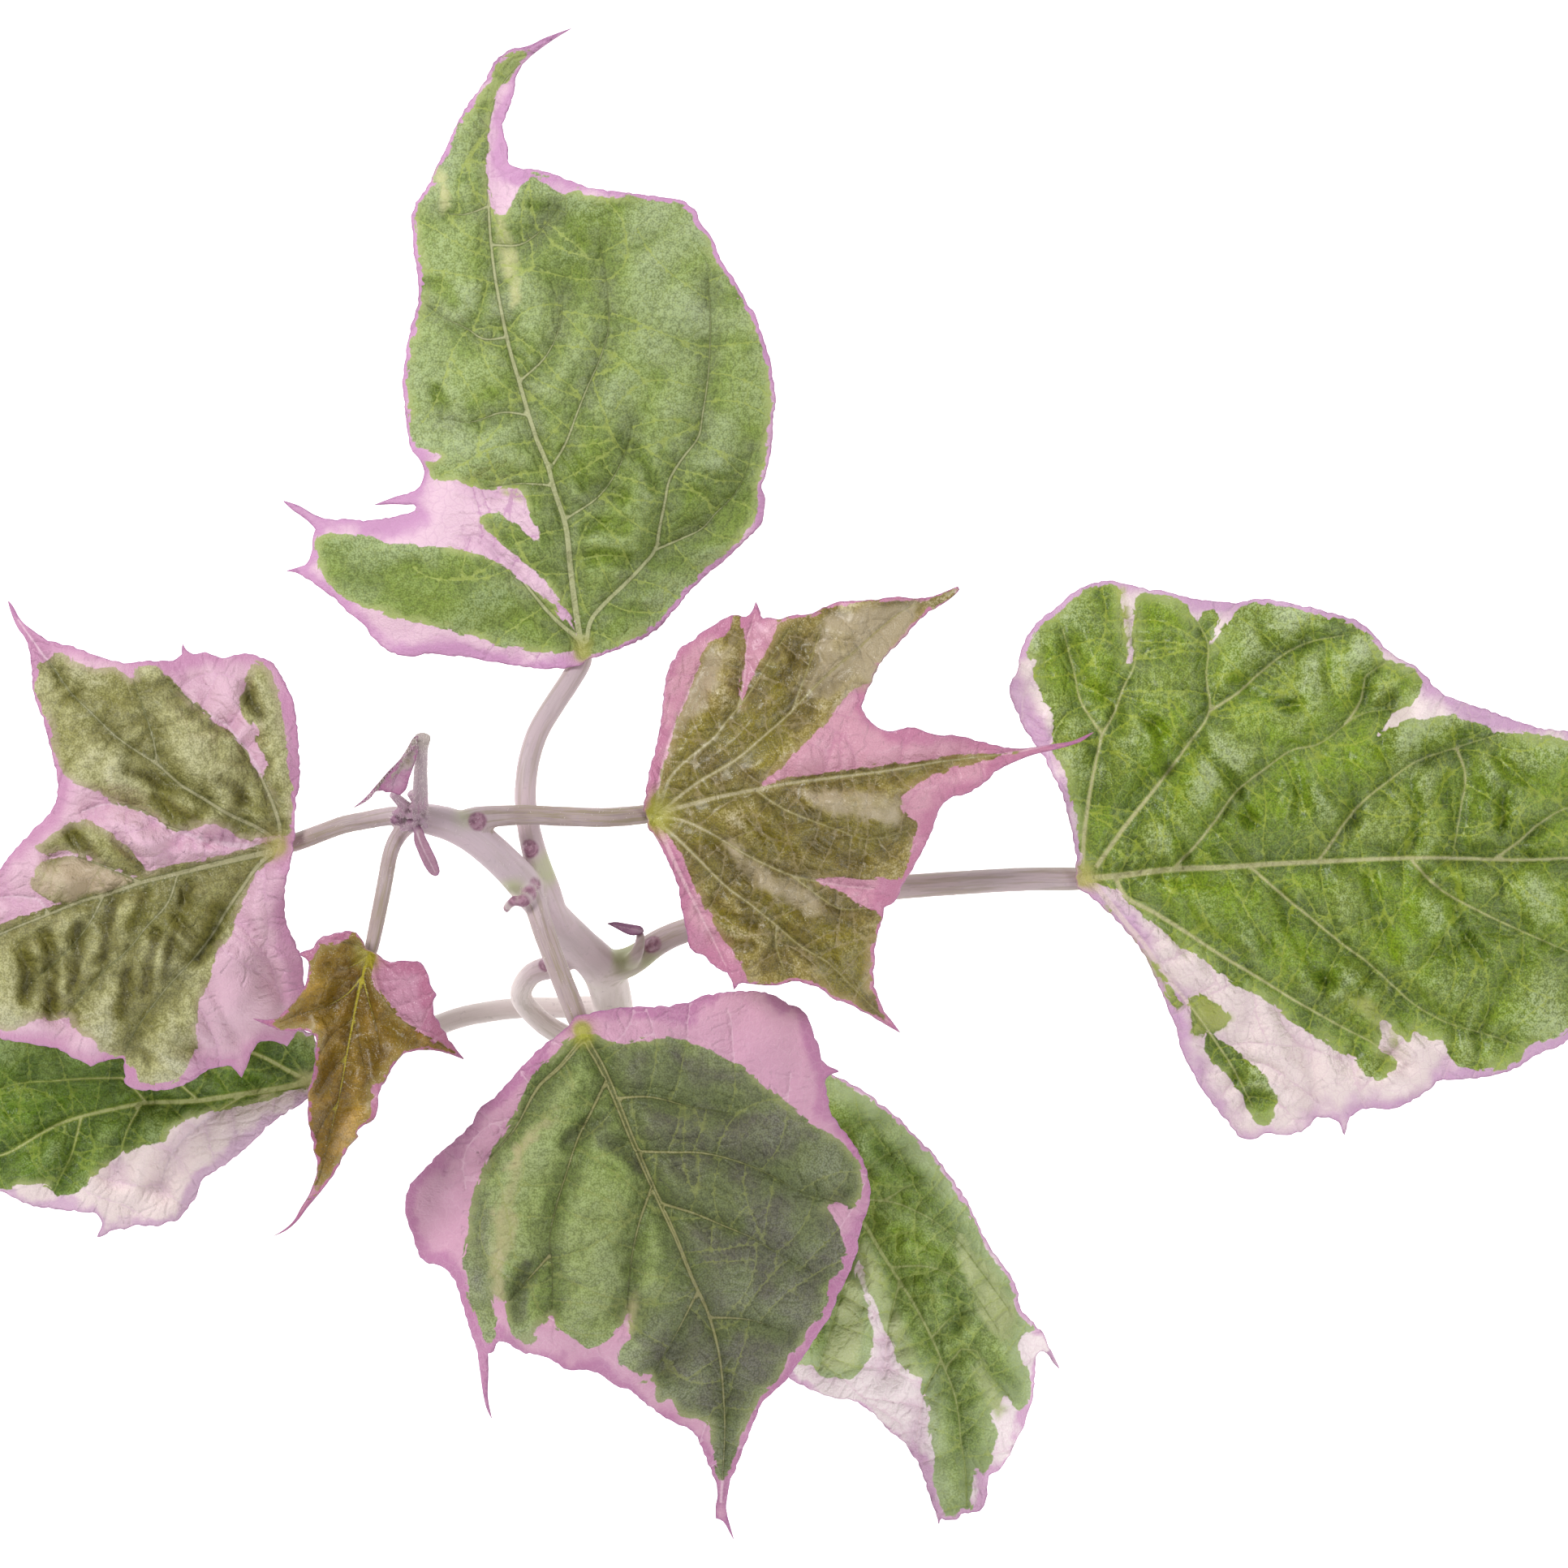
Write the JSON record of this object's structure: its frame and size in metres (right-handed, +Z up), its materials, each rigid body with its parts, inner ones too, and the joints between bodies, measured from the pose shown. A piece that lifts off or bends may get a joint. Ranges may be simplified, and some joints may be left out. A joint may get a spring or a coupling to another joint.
{
  "type": "sweet potato vine sprig",
  "caption": "Cut sprig of tricolour sweet potato vine: lobed, pointed, puckered leaves on long stalks round a bent stem, lying on a flat surface.",
  "frame": {"origin": "centre of the sprig's bounding box in plan, on the surface it lies on", "axes": "+Z up from the surface, +X towards the tip of the largest leaf, +Y towards the tip of the far leaf"},
  "size_m": [0.244, 0.1878, 0.0613],
  "materials": {
    "variegated_leaf": "fresh leaf, sage and deep green with pink and cream patches, satin",
    "young_leaf": "young leaf, olive-brown with pink margins, glossy",
    "stem_skin": "smooth mauve-grey stem skin with fine lengthwise stripes, satin",
    "bud_skin": "mauve bud scales, satin"
  },
  "bodies": {
    "root": {"blade_axil": "young_leaf", "blade_bottom": "variegated_leaf", "blade_folded": "young_leaf", "blade_left": "variegated_leaf", "blade_low_left": "variegated_leaf", "blade_low_right": "variegated_leaf", "blade_mid": "young_leaf", "blade_right": "variegated_leaf", "blade_top": "variegated_leaf", "blade_young": "young_leaf", "main_stem": "stem_skin", "shoot_tip": "bud_skin", "stalk_bottom": "stem_skin", "stalk_left": "stem_skin", "stalk_low_left": "stem_skin", "stalk_low_right": "stem_skin", "stalk_mid": "stem_skin", "stalk_right": "stem_skin", "stalk_top": "stem_skin", "stalk_young": "stem_skin"}
  },
  "joints": []
}
